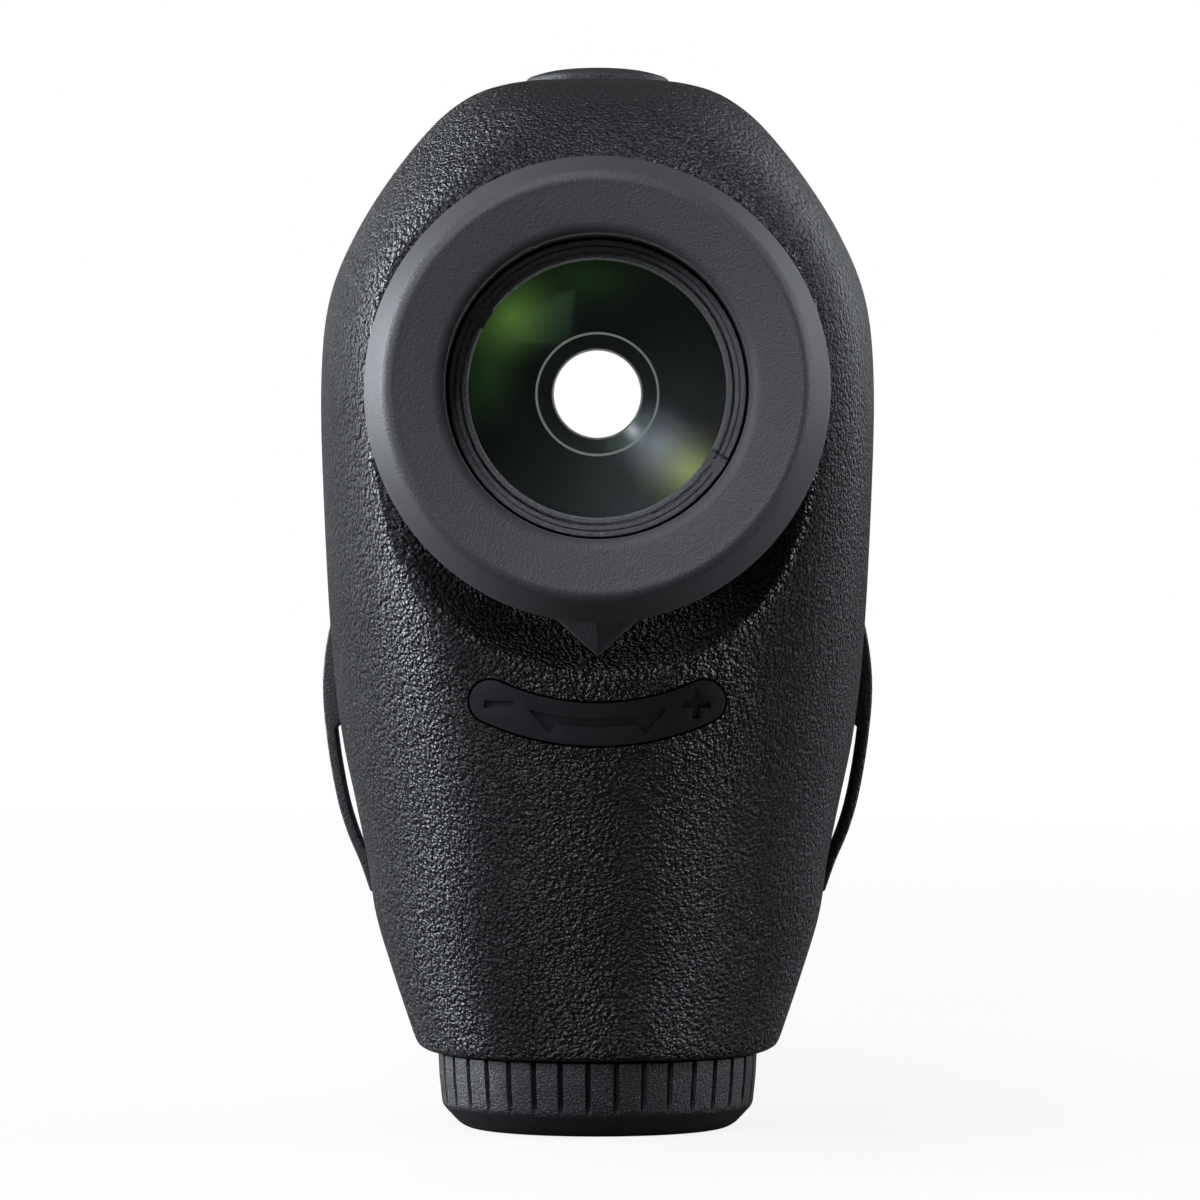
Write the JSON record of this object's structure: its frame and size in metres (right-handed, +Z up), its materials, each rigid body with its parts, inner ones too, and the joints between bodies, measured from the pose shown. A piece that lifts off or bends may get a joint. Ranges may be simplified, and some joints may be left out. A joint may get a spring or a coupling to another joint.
{
  "type": "laser rangefinder",
  "caption": "Compact upright monocular laser rangefinder with a focusing eyecup, top and side buttons, strap lugs and a screw battery cap in its base.",
  "frame": {"origin": "centre of the battery cap's flat bottom, on the battery's axis", "axes": "+Z up along the battery, +Y forward from the eyepiece to the objective, +X to the right as seen from behind the eyepiece"},
  "size_m": [0.0362, 0.112, 0.0693],
  "materials": {
    "armour": "matte",
    "smooth_plastic": "satin",
    "eyecup_rubber": "matte",
    "cap_plastic": "satin",
    "gloss_plastic": "gloss",
    "black_metal": "satin",
    "steel": "satin",
    "seal_rubber": "matte",
    "coated_glass": "polished",
    "clear_glass": "polished",
    "inner_plastic": "matte",
    "circuit_board": "satin",
    "battery_sleeve": "satin"
  },
  "bodies": {
    "housing": {"rear_housing": "armour", "front_housing": "armour", "housing_gasket": "seal_rubber", "strap_lug_right": "smooth_plastic", "strap_lug_left": "smooth_plastic", "diopter_scale_plate": "smooth_plastic", "prism_holder": "inner_plastic", "roof_prism": "clear_glass", "relay_prism": "clear_glass", "field_stop": "inner_plastic", "display_panel": "clear_glass", "chassis_screw_1": "steel", "chassis_screw_2": "steel", "chassis_screw_3": "steel", "chassis_screw_4": "steel", "objective_cell": "inner_plastic", "objective_lens": "coated_glass", "objective_retaining_ring": "inner_plastic", "light_baffle": "inner_plastic", "objective_window": "coated_glass", "front_bezel": "gloss_plastic", "bezel_screw_1": "steel", "bezel_screw_2": "steel", "receiver_lens": "coated_glass", "receiver_funnel": "inner_plastic", "detector_board": "circuit_board", "light_detector": "black_metal", "laser_diode": "steel", "laser_diode_holder": "inner_plastic", "power_button_seal": "seal_rubber", "power_switch": "black_metal", "switch_board": "circuit_board", "mode_button_seal": "seal_rubber", "mode_switch": "black_metal", "main_circuit_board": "circuit_board", "battery": "battery_sleeve", "battery_tube": "inner_plastic", "battery_contact_plate": "steel"},
    "focus_ring": {"diopter_ring": "smooth_plastic", "eyecup": "eyecup_rubber"},
    "eyepiece": {"eyepiece_cell": "black_metal", "eyepiece_retaining_ring": "black_metal", "eye_lens": "coated_glass", "field_lens": "clear_glass", "eyepiece_o_ring": "seal_rubber"},
    "power_button": {"power_button": "smooth_plastic"},
    "mode_button": {"mode_button": "smooth_plastic"},
    "cap_seal": {"battery_cap_o_ring": "seal_rubber", "battery_contact_spring": "steel"},
    "battery_cap": {"battery_cap": "cap_plastic"}
  },
  "joints": [
    {"name": "focus_ring_turn", "type": "hinge", "parent": "housing", "child": "focus_ring", "pos_m": [0, -0.035, 0.0471], "axis": [0, 1, 0], "range_deg": [-45, 45]},
    {"name": "eyepiece_focus", "type": "slide", "parent": "housing", "child": "eyepiece", "axis": [0, 1, 0], "range_m": [-0.0009, 0.0009]},
    {"name": "power_button_press", "type": "slide", "parent": "housing", "child": "power_button", "axis": [0, 0, -1], "range_m": [0, 0.0005], "stiffness_N_per_m": 800},
    {"name": "mode_button_press", "type": "slide", "parent": "housing", "child": "mode_button", "axis": [1, 0, 0], "range_m": [0, 0.0005], "stiffness_N_per_m": 800},
    {"name": "battery_cap_travel", "type": "slide", "parent": "housing", "child": "cap_seal", "axis": [0, 0, -1], "range_m": [0, 0.00375]},
    {"name": "battery_cap_turn", "type": "hinge", "parent": "cap_seal", "child": "battery_cap", "pos_m": [0, 0, 0.003], "axis": [0, 0, -1], "range_deg": [0, 900]}
  ],
  "couplings": [
    {"joint": "focus_ring_turn", "follows": "eyepiece_focus", "rad_per_m": 872},
    {"joint": "battery_cap_turn", "follows": "battery_cap_travel", "rad_per_m": 4188}
  ]
}
